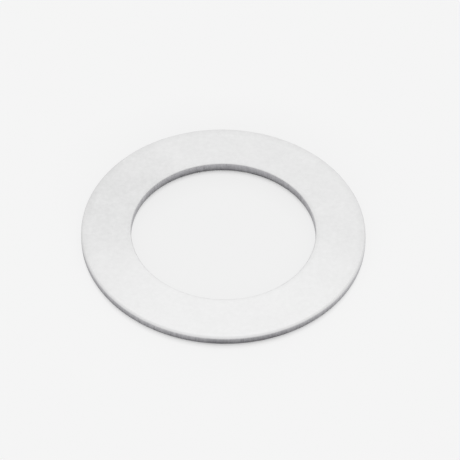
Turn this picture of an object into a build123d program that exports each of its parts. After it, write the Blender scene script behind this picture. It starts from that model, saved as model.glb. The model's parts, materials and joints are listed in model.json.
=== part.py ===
from build123d import *

import os

# Shim ring 11 x 17 x 0.6: a flat steel spacer that takes up end float beside a bearing or gear.
# It is blanked from cold-rolled strip in a progressive die, then tumbled. The ring lies flat,
# +Z is its axis, and the origin is the middle of its lower face. Lengths are in millimetres.

# The ring slides over an 11 mm shaft or into a 17 mm housing, with a close running fit on each.
bore_diameter = 11.01
outer_diameter = 16.99
thickness = 0.60

# Punch and die pass each other with this gap, all round. It sets how far a torn band leans.
die_clearance = 0.012

# The hole is punched upwards and the ring is blanked downwards, so the two sheared walls are
# opposite ways up. Each wall has a rolled-in corner where the tool went in, a smooth burnished
# band, and a torn band that leans away where the strip broke. Their depths grow with the strip.
rim_roll_share = 0.36
rim_torn_share = 0.26
bore_roll_share = 0.20
bore_torn_share = 0.46
roll_proportion = 0.5  # the width of a rolled corner over its depth

# Tumbling takes the burr off the two sharp corners and leaves this radius.
tumbled_radius = 0.06

bore_radius = bore_diameter / 2
rim_radius = outer_diameter / 2

rim_roll_depth = rim_roll_share * thickness
rim_roll_width = roll_proportion * rim_roll_depth
rim_torn_height = rim_torn_share * thickness

bore_roll_depth = bore_roll_share * thickness
bore_roll_width = roll_proportion * bore_roll_depth
bore_torn_height = bore_torn_share * thickness

with BuildPart() as shim_ring:
    # The section stands in the XZ plane, with the ring's axis at its left.
    with BuildSketch(Plane.XZ) as section:
        with BuildLine():
            # Rim: the strip's top face rolls over the die's edge, and the wall tears at its foot.
            rim_roll = EllipticalCenterArc(
                (rim_radius - rim_roll_width, thickness - rim_roll_depth),
                rim_roll_width,
                rim_roll_depth,
                start_angle=0,
                arc_size=90,
            )
            rim_foot = (rim_radius - die_clearance, 0)
            Polyline(rim_roll @ 0, (rim_radius, rim_torn_height), rim_foot)

            # Bore: the punch enters from below, so its roll is at the foot and its tear on top.
            bore_roll = EllipticalCenterArc(
                (bore_radius + bore_roll_width, bore_roll_depth),
                bore_roll_width,
                bore_roll_depth,
                start_angle=180,
                arc_size=90,
            )
            bore_mouth = (bore_radius + die_clearance, thickness)
            Polyline(bore_roll @ 0, (bore_radius, thickness - bore_torn_height), bore_mouth)

            # The strip's own two faces close the outline.
            Line(rim_roll @ 1, bore_mouth)
            Line(bore_roll @ 1, rim_foot)
        make_face()

        # The burr sides, at the bore's mouth and the rim's foot, are the only sharp corners.
        sharp_corners = [
            section.vertices().sort_by_distance(bore_mouth)[0],
            section.vertices().sort_by_distance(rim_foot)[0],
        ]
        fillet(sharp_corners, radius=tumbled_radius)
    revolve(axis=Axis.Z)

shim_ring.part.label = "shim_ring"
os.makedirs("parts", exist_ok=True)
export_step(shim_ring.part, "parts/shim_ring.step")
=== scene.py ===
import json
import math

import bpy
from mathutils import Matrix, Vector


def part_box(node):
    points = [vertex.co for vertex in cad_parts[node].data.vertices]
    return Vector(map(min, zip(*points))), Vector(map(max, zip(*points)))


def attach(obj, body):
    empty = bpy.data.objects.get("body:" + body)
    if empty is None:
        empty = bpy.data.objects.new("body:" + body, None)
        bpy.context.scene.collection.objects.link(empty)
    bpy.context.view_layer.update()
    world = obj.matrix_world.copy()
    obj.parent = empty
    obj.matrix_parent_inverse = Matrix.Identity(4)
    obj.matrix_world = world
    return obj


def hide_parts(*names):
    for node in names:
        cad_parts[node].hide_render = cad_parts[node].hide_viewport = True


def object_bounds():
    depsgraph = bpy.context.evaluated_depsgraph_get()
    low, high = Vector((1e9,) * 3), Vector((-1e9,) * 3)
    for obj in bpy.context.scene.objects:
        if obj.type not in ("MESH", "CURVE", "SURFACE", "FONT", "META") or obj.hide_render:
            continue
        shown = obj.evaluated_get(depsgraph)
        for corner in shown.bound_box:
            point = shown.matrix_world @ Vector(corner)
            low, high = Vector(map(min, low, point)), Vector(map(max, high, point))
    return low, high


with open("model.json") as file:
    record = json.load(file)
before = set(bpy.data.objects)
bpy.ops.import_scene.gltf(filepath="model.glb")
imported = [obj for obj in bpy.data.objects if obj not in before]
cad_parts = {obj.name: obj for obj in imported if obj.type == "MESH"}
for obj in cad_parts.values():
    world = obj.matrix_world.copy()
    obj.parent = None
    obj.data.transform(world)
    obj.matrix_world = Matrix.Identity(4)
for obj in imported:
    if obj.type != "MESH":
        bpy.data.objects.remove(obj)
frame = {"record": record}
cad_low, cad_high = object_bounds()


# ---- Shim ring: its section ----
# The ring is one piece of cold-rolled steel strip. The hole is punched upwards and the ring is
# blanked downwards, so each sheared wall has a rolled corner, a burnished band and a torn band, and
# the two walls stand opposite ways up. Tumbling takes off the burr and dulls the sharp corners.

MM = 0.001
mounts = {mount["name"]: mount for mount in frame["record"]["mounts"]}
bore_radius = mounts["bore"]["dims"]["r_mm"] * MM
rim_radius = mounts["rim"]["dims"]["r_mm"] * MM
ring_low, ring_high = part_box("shim_ring")
thickness = ring_high[2] - ring_low[2]

die_clearance = 0.012 * MM
tumbled_radius = 0.06 * MM
rim_roll_depth = 0.36 * thickness
rim_torn_height = 0.26 * thickness
bore_roll_depth = 0.20 * thickness
bore_torn_height = 0.46 * thickness
roll_proportion = 0.5  # the width of a rolled corner over its depth


def straight(start, end, rows):
    """Rows from start up to end, closer together towards both ends."""
    shares = [(1 - math.cos(math.pi * row / rows)) / 2 for row in range(rows)]
    return [Vector(start).lerp(Vector(end), share) for share in shares]


def rolled_corner(middle, depth, first_turn, rows):
    """A quarter of an ellipse round its middle, clockwise from first_turn quarters."""
    turns = [(first_turn - row / rows) * math.pi / 2 for row in range(rows)]
    reach = Vector((roll_proportion * depth, depth))
    return [Vector(middle) + reach * Vector((math.cos(t), math.sin(t))) for t in turns]


def dulled_corner(before, corner, after, rows):
    """The tumbled arc that rounds a corner between two straight runs, with both its ends."""
    back = (Vector(before) - Vector(corner)).normalized()
    on = (Vector(after) - Vector(corner)).normalized()
    half = back.angle(on) / 2
    middle = Vector(corner) + (back + on).normalized() * tumbled_radius / math.sin(half)
    first = Vector(corner) + back * tumbled_radius / math.tan(half) - middle
    last = Vector(corner) + on * tumbled_radius / math.tan(half) - middle
    return [middle + first.slerp(last, row / rows) * tumbled_radius for row in range(rows + 1)]


# Each point is a distance from the axis and a height. A wall's points start at its tool's side.
rim_roll_start = (rim_radius - roll_proportion * rim_roll_depth, thickness)
rim_roll_end = (rim_radius, thickness - rim_roll_depth)
rim_roll_middle = (rim_roll_start[0], rim_roll_end[1])
rim_tear = (rim_radius, rim_torn_height)
rim_foot = (rim_radius - die_clearance, 0)

bore_roll_start = (bore_radius + roll_proportion * bore_roll_depth, 0)
bore_roll_end = (bore_radius, bore_roll_depth)
bore_roll_middle = (bore_roll_start[0], bore_roll_end[1])
bore_tear = (bore_radius, thickness - bore_torn_height)
bore_mouth = (bore_radius + die_clearance, thickness)

mouth_arc = dulled_corner(bore_tear, bore_mouth, rim_roll_start, 8)
foot_arc = dulled_corner(rim_tear, rim_foot, bore_roll_start, 6)

# The outline goes clockwise from the bore's mouth. Each row belongs to one band of the metal, and
# has a share of sheared wall in it: none on the faces, all of it on the walls.
section = []
for band, first_share, last_share, points in (
    ("dulled", 1, 0, mouth_arc[:-1]),
    ("face", 0, 0, straight(mouth_arc[-1], rim_roll_start, 10)),
    ("rolled", 0, 1, rolled_corner(rim_roll_middle, rim_roll_depth, 1, 12)),
    ("burnished", 1, 1, straight(rim_roll_end, rim_tear, 8)),
    ("torn", 1, 1, straight(rim_tear, foot_arc[0], 6)),
    ("dulled", 1, 1, foot_arc[:-1]),
    ("face", 0, 0, straight(foot_arc[-1], bore_roll_start, 8)),
    ("rolled", 1, 1, rolled_corner(bore_roll_middle, bore_roll_depth, 3, 8)),
    ("burnished", 1, 1, straight(bore_roll_end, bore_tear, 6)),
    ("torn", 1, 1, straight(bore_tear, mouth_arc[0], 10)),
):
    for row, point in enumerate(points):
        share = first_share + (last_share - first_share) * row / len(points)
        section.append((point, band, share))


# ---- Shim ring: its body ----
# The section is carried once round the axis. The tear line wanders where the strip broke, the torn
# band is granular, the punch and die leave drag lines along the burnished band, and the tumbled
# corners have small nicks. All of it is cut into the metal, so no size grows.


class Socket:
    """One output in a node tree. Arithmetic on it adds Math nodes to that tree."""

    def __init__(self, tree, output=None):
        self.tree = tree
        self.output = output

    def add(self, kind, settings=None, inputs=None, output=0):
        """Adds a node, with its settings first and then a value or a link at each named input."""
        node = self.tree.nodes.new(kind)
        for name, value in (settings or {}).items():
            setattr(node, name, value)
        for name, value in (inputs or {}).items():
            if isinstance(value, Socket):
                self.tree.links.new(value.output, node.inputs[name])
            else:
                node.inputs[name].default_value = value
        return Socket(self.tree, node.outputs[output] if node.outputs else None)

    def beside(self, name):
        """Another output of the same node."""
        return Socket(self.tree, self.output.node.outputs[name])

    def parts(self):
        """The X, Y and Z of this vector."""
        x = self.add("ShaderNodeSeparateXYZ", inputs={"Vector": self})
        return x, x.beside("Y"), x.beside("Z")

    def vector_math(self, operation, *others, output="Vector"):
        """Vector maths with this vector in front."""
        vectors = dict(enumerate((self, *others)))
        return self.add("ShaderNodeVectorMath", {"operation": operation}, vectors, output)

    def math(self, operation, *numbers):
        return self.add("ShaderNodeMath", {"operation": operation}, dict(enumerate(numbers)))

    def __add__(self, other):
        return self.math("ADD", self, other)

    def __sub__(self, other):
        return self.math("SUBTRACT", self, other)

    def __rsub__(self, other):
        return self.math("SUBTRACT", other, self)

    def __mul__(self, other):
        return self.math("MULTIPLY", self, other)

    def __truediv__(self, other):
        return self.math("DIVIDE", self, other)

    def __rtruediv__(self, other):
        return self.math("DIVIDE", other, self)

    def __neg__(self):
        return self * -1

    def __pow__(self, other):
        return self.math("POWER", self, other)

    __radd__ = __add__
    __rmul__ = __mul__

    def under(self, limit):
        """1 below the limit and 0 from there on."""
        return self.math("LESS_THAN", self, limit)

    def larger(self, other):
        return self.math("MAXIMUM", self, other)

    def between(self, low, high):
        """0 at low and under, 1 at high and over, and a straight ramp between them."""
        return self.add(
            "ShaderNodeMapRange",
            {"clamp": True},
            {"Value": self, "From Min": low, "From Max": high},
        )

    def noise(self, lump, detail, rough, seed):
        """Noise of about 0 to 1 over this position, with its largest lumps about this size."""
        return self.add(
            "ShaderNodeTexNoise",
            {"noise_dimensions": "4D"},
            {"Vector": self, "W": seed, "Scale": 1 / lump, "Detail": detail, "Roughness": rough},
        )


# The outline is drawn about the middle of the strip's width, and its heights are negative because
# the sweep points its Y downwards. Each row carries its marks: how far it is rolled, burnished,
# torn, dulled or sheared, and whether the tear line runs there.
middle_radius = (bore_radius + rim_radius) / 2
rows = len(section)

outline_mesh = bpy.data.meshes.new("ring_section")
outline_mesh.from_pydata(
    [(point[0] - middle_radius, -point[1], 0) for point, _, _ in section],
    [(row, (row + 1) % rows) for row in range(rows)],
    [],
)
marks = {
    name: [float(band == name) for _, band, _ in section]
    for name in ("rolled", "burnished", "torn", "dulled")
}
marks["sheared"] = [share for _, _, share in section]
marks["tear_line"] = [
    float(band == "torn" and section[row - 1][1] == "burnished")
    for row, (_, band, _) in enumerate(section)
]
for name, values in marks.items():
    outline_mesh.attributes.new(name, "FLOAT", "POINT").data.foreach_set("value", values)

SIZES = {
    "Path Radius": ("NodeSocketFloat", middle_radius),
    "Steps Around": ("NodeSocketInt", 1200),
    "Tear Wander": ("NodeSocketFloat", 0.016 * MM),
    "Tear Length": ("NodeSocketFloat", 0.30 * MM),
    "Torn Grain": ("NodeSocketFloat", 0.07 * MM),
    "Torn Depth": ("NodeSocketFloat", 0.010 * MM),
    "Drag Pitch": ("NodeSocketFloat", 0.06 * MM),
    "Drag Depth": ("NodeSocketFloat", 0.0015 * MM),
    "Nick Length": ("NodeSocketFloat", 0.25 * MM),
    "Nick Depth": ("NodeSocketFloat", 0.006 * MM),
    "Sway Length": ("NodeSocketFloat", 2.5 * middle_radius),
    "Sway Depth": ("NodeSocketFloat", 0.004 * MM),
    "Seed": ("NodeSocketFloat", 3.0),
}
turning = bpy.data.node_groups.new("turned_and_torn", "GeometryNodeTree")


def new_input(name, kind):
    """Adds an input to the tree. The modifier knows it by the identifier that comes back."""
    return turning.interface.new_socket(name, in_out="INPUT", socket_type=kind).identifier


new_input("Section", "NodeSocketGeometry")
identifiers = {name: new_input(name, kind) for name, (kind, _) in SIZES.items()}
identifiers["Steel"] = new_input("Steel", "NodeSocketMaterial")
turning.interface.new_socket("Ring", in_out="OUTPUT", socket_type="NodeSocketGeometry")

tree = Socket(turning)
given = tree.add("NodeGroupInput", output="Section")
size = {name: given.beside(name) for name in SIZES}
outline = tree.add("GeometryNodeMeshToCurve", inputs={"Mesh": given})
path = tree.add(
    "GeometryNodeCurvePrimitiveCircle",
    inputs={"Resolution": size["Steps Around"], "Radius": size["Path Radius"]},
)
swept = tree.add("GeometryNodeCurveToMesh", inputs={"Curve": path, "Profile Curve": outline})


def mark(name):
    """One of the outline's marks, which came round with it."""
    return tree.add("GeometryNodeInputNamedAttribute", {"data_type": "FLOAT"}, {"Name": name})


# Noise over the flattened place is the same all the way up a wall, so it makes upright lines.
place = tree.add("GeometryNodeInputPosition")
flat_place = place.vector_math("MULTIPLY", (1, 1, 0))
seed = size["Seed"]

wander = flat_place.noise(size["Tear Length"], detail=3.0, rough=0.6, seed=seed) * 2 - 1
torn_grain = place.noise(size["Torn Grain"], detail=2.0, rough=0.6, seed=seed + 1)
drag_lines = flat_place.noise(size["Drag Pitch"], detail=2.0, rough=0.7, seed=seed + 2)
lumps = flat_place.noise(size["Nick Length"], detail=3.0, rough=0.6, seed=seed + 3)
nicks = lumps.between(0.55, 0.75)
sway = flat_place.noise(size["Sway Length"], detail=1.0, rough=0.5, seed=seed + 4)
cut = (
    mark("torn") * torn_grain * size["Torn Depth"]
    + mark("burnished") * drag_lines * size["Drag Depth"]
    + mark("dulled") * nicks * size["Nick Depth"]
    + mark("rolled") * sway * size["Sway Depth"]
)
inwards = tree.add("GeometryNodeInputNormal").vector_math("MULTIPLY", -cut)
tear_rise = mark("tear_line") * wander * size["Tear Wander"]
up_and_down = tree.add("ShaderNodeCombineXYZ", inputs={"Z": tear_rise})
worn = tree.add(
    "GeometryNodeSetPosition",
    inputs={"Geometry": swept, "Offset": inwards.vector_math("ADD", up_and_down)},
)
smooth = tree.add("GeometryNodeSetShadeSmooth", inputs={"Geometry": worn})
real = tree.add("GeometryNodeRealizeInstances", inputs={"Geometry": smooth})
clad = tree.add(
    "GeometryNodeSetMaterial", inputs={"Geometry": real, "Material": given.beside("Steel")}
)
tree.add("NodeGroupOutput", inputs={"Ring": clad})


# ---- Shim ring: its steel ----
# Cold-rolled steel, tumbled to a satin grey, with faint clouds and specks on the faces, and painted
# light and shade over them. The sheared walls are darker and streaked from top to foot, and their
# darkening downwards is painted shade.

face_dull, face_bright = (0.70, 0.70, 0.70), (0.90, 0.90, 0.90)
wall_dark, wall_light = (0.17, 0.168, 0.18), (0.69, 0.685, 0.705)
cloud_size = 1.2 * MM
speck_size = 0.28 * MM
grain_size = 0.07 * MM
streak_pitch = 0.09 * MM
streak_squeeze = 0.08  # the share of the height that their noise sees, which keeps them upright
relief_depth = 0.0012 * MM

steel = bpy.data.materials.new("tumbled_steel")
steel.use_nodes = True
steel.node_tree.nodes.clear()
shade = Socket(steel.node_tree)


def painted(name):
    """One of the outline's marks, as the material reads it."""
    return shade.add("ShaderNodeAttribute", {"attribute_name": name}, output="Fac")


def blend(share, first, second):
    """The first colour where share is 0 and the second where it is 1."""
    colours = {0: share}
    for slot, colour in ((6, first), (7, second)):
        colours[slot] = colour if isinstance(colour, Socket) else (*colour, 1)
    return shade.add("ShaderNodeMix", {"data_type": "RGBA"}, colours, output=2)


sheared = painted("sheared")
torn = painted("torn")
dulled = painted("dulled")
rolled = painted("rolled")
burnished = painted("burnished")

spot = shade.add("ShaderNodeTexCoord", output="Object")
x, y, z = spot.parts()
height = z / thickness
radius = spot.vector_math("MULTIPLY", (1, 1, 0)).vector_math("LENGTH", output="Value")

# Each of these is noise less its middle, so that it lightens as much as it darkens.
clouds = spot.noise(cloud_size, detail=3.0, rough=0.55, seed=1.0) - 0.5
specks = spot.noise(speck_size, detail=2.0, rough=0.6, seed=2.0) - 0.5
grain = spot.noise(grain_size, detail=2.0, rough=0.6, seed=3.0) - 0.5
squeezed = spot.vector_math("MULTIPLY", (1, 1, streak_squeeze))
streaks = squeezed.noise(streak_pitch, detail=3.0, rough=0.65, seed=4.0) - 0.5


def towards(degrees):
    """1 on the side of the ring at this angle, 0 a quarter of the way round and -1 opposite."""
    side = math.radians(degrees)
    return (x * math.cos(side) + y * math.sin(side)) / radius


# The face is brightest towards 275 degrees, the front, which is painted light, and dullest and most
# mottled towards 157. Painted shade darkens it towards the rim, but for the lit side, round the
# mouth, most of all towards 350, and on its dulled corners.
painted_light_side = towards(275).between(0.15, 0.80)
dull_side = towards(157).between(0.75, 0.97)
near_rim = 1 - ((rim_radius - radius) / thickness).between(0.1, 0.9)
near_mouth = 1 - ((radius - bore_radius) / thickness).between(0.05, 0.45)
mottle = clouds * 0.22 + specks * 0.28 + grain * 0.08
face_level = (
    0.52
    + painted_light_side * 0.25
    - dull_side * 0.20
    - near_rim * (1 - painted_light_side) * 0.21
    - near_mouth * (towards(350).between(0.4, 1) * 0.20 + 0.12)
    - dulled * 0.25
    + mottle * (dull_side * 0.7 - painted_light_side * 0.5 + 1.8)
)
face_colour = blend(face_level.between(0, 1), face_dull, face_bright)

# The blanked wall is darkest towards 95 and 275 degrees, which is painted shade, and lightest
# towards 0, which is painted light. The punched wall is a little darker all round, and most of all
# towards 90 and 270, which is painted shade. Both walls darken downwards and at their rolled and
# dulled corners, which is painted shade too.
punched = radius.under(middle_radius)
blanked_painted_shading = towards(95) ** 20 * 0.30 - towards(0).between(0.6, 1) * 0.35
punched_dark = towards(90) ** 2 * 0.14 + 0.06
wall_level = (
    height
    + 0.38
    - blanked_painted_shading * (1 - punched)
    - punched_dark * punched
    - rolled * 0.28
    - burnished * 0.10
    - dulled * 0.30
    + streaks * 1.00
    + specks * 0.50
    + grain * 0.60
    + clouds * 0.35
)
wall_colour = blend(wall_level.between(0, 1.5), wall_dark, wall_light)

# A face keeps its tone over most of a rounded corner, and the wall's tone, with its painted shade,
# comes in late.
steel_colour = blend(sheared**5, face_colour, wall_colour)
roughness = (
    0.40 + clouds * 0.10 + specks * 0.06 + torn * 0.18 - dulled * 0.08 + sheared * streaks * 0.15
)
relief = (1 - sheared) * (specks * 0.6 + grain * 0.4) + sheared * (streaks * 0.7 + grain * 0.9)
bumped = shade.add("ShaderNodeBump", inputs={"Distance": relief_depth, "Height": relief})
metal = shade.add(
    "ShaderNodeBsdfPrincipled",
    inputs={
        "Base Color": steel_colour,
        "Metallic": 1.0,
        "Roughness": roughness,
        "Normal": bumped,
    },
)
shade.add("ShaderNodeOutputMaterial", inputs={"Surface": metal})

turned = bpy.data.objects.new("ring_outline", outline_mesh)
bpy.context.collection.objects.link(turned)
turn = turned.modifiers.new("turned_and_torn", "NODES")
turn.node_group = turning
for name, (_, value) in SIZES.items():
    turn[identifiers[name]] = value
turn[identifiers["Steel"]] = steel
evaluated = turned.evaluated_get(bpy.context.evaluated_depsgraph_get())
ring_mesh = bpy.data.meshes.new_from_object(evaluated)
turned.modifiers.remove(turn)
bpy.data.objects.remove(turned)

ring = bpy.data.objects.new("tumbled_ring", ring_mesh)
bpy.context.collection.objects.link(ring)
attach(ring, "root")
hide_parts("shim_ring")


# ---- Floor ----
# A wide, plain sheet of white acrylic, lit faintly from below. Painted shade makes it glow less
# inside the ring, most of all on the hole's far side, and a wide, faint painted shade lies round
# the ring, most of all behind it. Close in front of each wall it does not glow at all, where the
# ring's own shadow falls on it.

floor_reach = 80 * rim_radius
acrylic_white = (0.913, 0.913, 0.913, 1)
floor_glow = 0.914
glow_part = 0.90  # the rest is the light that falls on the floor
# Painted shade: the hole glows darker, and its far side darker still.
painted_hole_dimming = 0.037
painted_far_side_dimming = 0.025
shadow_slide = 0.75 * thickness
shadow_edge = (-0.75 * thickness, -0.05 * thickness)

corners = ((-1, -1), (1, -1), (1, 1), (-1, 1))
floor_mesh = bpy.data.meshes.new("floor")
floor_mesh.from_pydata(
    [(x * floor_reach, y * floor_reach, cad_low[2]) for x, y in corners], [], [(0, 1, 2, 3)]
)
floor = bpy.data.objects.new("floor", floor_mesh)
bpy.context.collection.objects.link(floor)

acrylic = bpy.data.materials.new("pale_acrylic")
acrylic.use_nodes = True
acrylic.node_tree.nodes.clear()
sheet = Socket(acrylic.node_tree)

# The shadow is the ring's outline, slid forwards and soft at its edges. Outside and inside are 1
# clear of it, and behind runs from 1 straight behind the ring to -1 straight in front.
slid = sheet.add("ShaderNodeTexCoord", output="Object").vector_math("ADD", (0, shadow_slide, 0))
reach = slid.vector_math("LENGTH", output="Value")
outside = (reach - rim_radius).between(*shadow_edge)
inside = (bore_radius - reach).between(*shadow_edge)
behind = slid.parts()[1] / reach

# Painted shade round the ring and in the hole.
near_ring = 1 - ((reach - rim_radius) / thickness).between(0, 7)
painted_faint_shade = near_ring * (behind * 0.010 + behind**2 * 0.016)
far_side = (reach / bore_radius).between(0.75, 1.05) * behind.between(0.2, 0.8)
painted_hole_shade = far_side * painted_far_side_dimming + painted_hole_dimming
glow_level = floor_glow - inside * painted_hole_shade - outside * painted_faint_shade
glow = sheet.add("ShaderNodeEmission", inputs={"Color": glow_level})
lit = sheet.add("ShaderNodeBsdfDiffuse", inputs={"Color": acrylic_white})

ray = sheet.add("ShaderNodeLightPath", output="Is Camera Ray")
seen = ray.larger(ray.beside("Is Glossy Ray")).larger(ray.beside("Is Transmission Ray"))
glow_share = seen * outside.larger(inside) * glow_part
surface = sheet.add("ShaderNodeMixShader", inputs={0: glow_share, 1: lit, 2: glow})
sheet.add("ShaderNodeOutputMaterial", inputs={"Surface": surface})
floor_mesh.materials.append(acrylic)


# ---- Light ----
# A pale tent all round, as light as the floor where the two meet, and lightest overhead and
# behind the ring. One wide, soft lamp stands high behind the ring.

tent = bpy.data.worlds.new("tent")
bpy.context.scene.world = tent
tent.use_nodes = True
tent.node_tree.nodes.clear()
sky = Socket(tent.node_tree)
_, backwards, upwards = sky.add("ShaderNodeTexCoord", output="Generated").parts()
tent_level = floor_glow + upwards.between(0, 0.4) * (0.036 + backwards * 0.02 + upwards * 0.015)
background = sky.add("ShaderNodeBackground", inputs={"Color": tent_level})
sky.add("ShaderNodeOutputWorld", inputs={"Surface": background})


def aim(thing, place, target, roll=0.0):
    """Puts a lamp or the camera at place, looking at target, and rolls it about that line."""
    back = (Vector(place) - Vector(target)).normalized()
    right = Vector((0, 0, 1)).cross(back).normalized()
    level = Matrix((right, back.cross(right), back)).transposed()
    thing.matrix_world = (
        Matrix.Translation(place) @ level.to_4x4() @ Matrix.Rotation(roll, 4, "Z")
    )


lamp_distance = 40 * rim_radius
lamp_height = math.radians(78)
lamp_spread = math.radians(38)  # from its middle to its edge, as the ring sees it
lamp_radius = lamp_distance * math.tan(lamp_spread)
lamp_area = math.pi * lamp_radius**2
lamp_radiance = 0.07

lamp_data = bpy.data.lights.new("soft_lamp", "AREA")
lamp_data.shape = "DISK"
lamp_data.size = 2 * lamp_radius
lamp_data.energy = lamp_radiance * math.pi * lamp_area
lamp = bpy.data.objects.new("soft_lamp", lamp_data)
bpy.context.collection.objects.link(lamp)
lamp_place = lamp_distance * Vector((0, math.cos(lamp_height), math.sin(lamp_height)))
aim(lamp, lamp_place, (0, 0, 0))


# ---- Camera ----
# A long lens that looks down on the ring from the front. It aims a little to the right of the
# ring's middle and behind it, with a slight roll.

camera_lens = 280.2
camera_distance = 25.2 * rim_radius
camera_height = math.radians(47.2)
camera_roll = math.radians(1.30)
looked_at = (0.046 * rim_radius, 0.0685 * rim_radius, 0)

camera_data = bpy.data.cameras.new("camera")
camera_data.lens = camera_lens
camera_data.clip_start = rim_radius
camera = bpy.data.objects.new("camera", camera_data)
bpy.context.collection.objects.link(camera)
camera_place = camera_distance * Vector((0, -math.cos(camera_height), math.sin(camera_height)))
aim(camera, camera_place, looked_at, camera_roll)
bpy.context.scene.camera = camera

bpy.context.scene.view_settings.view_transform = "Standard"
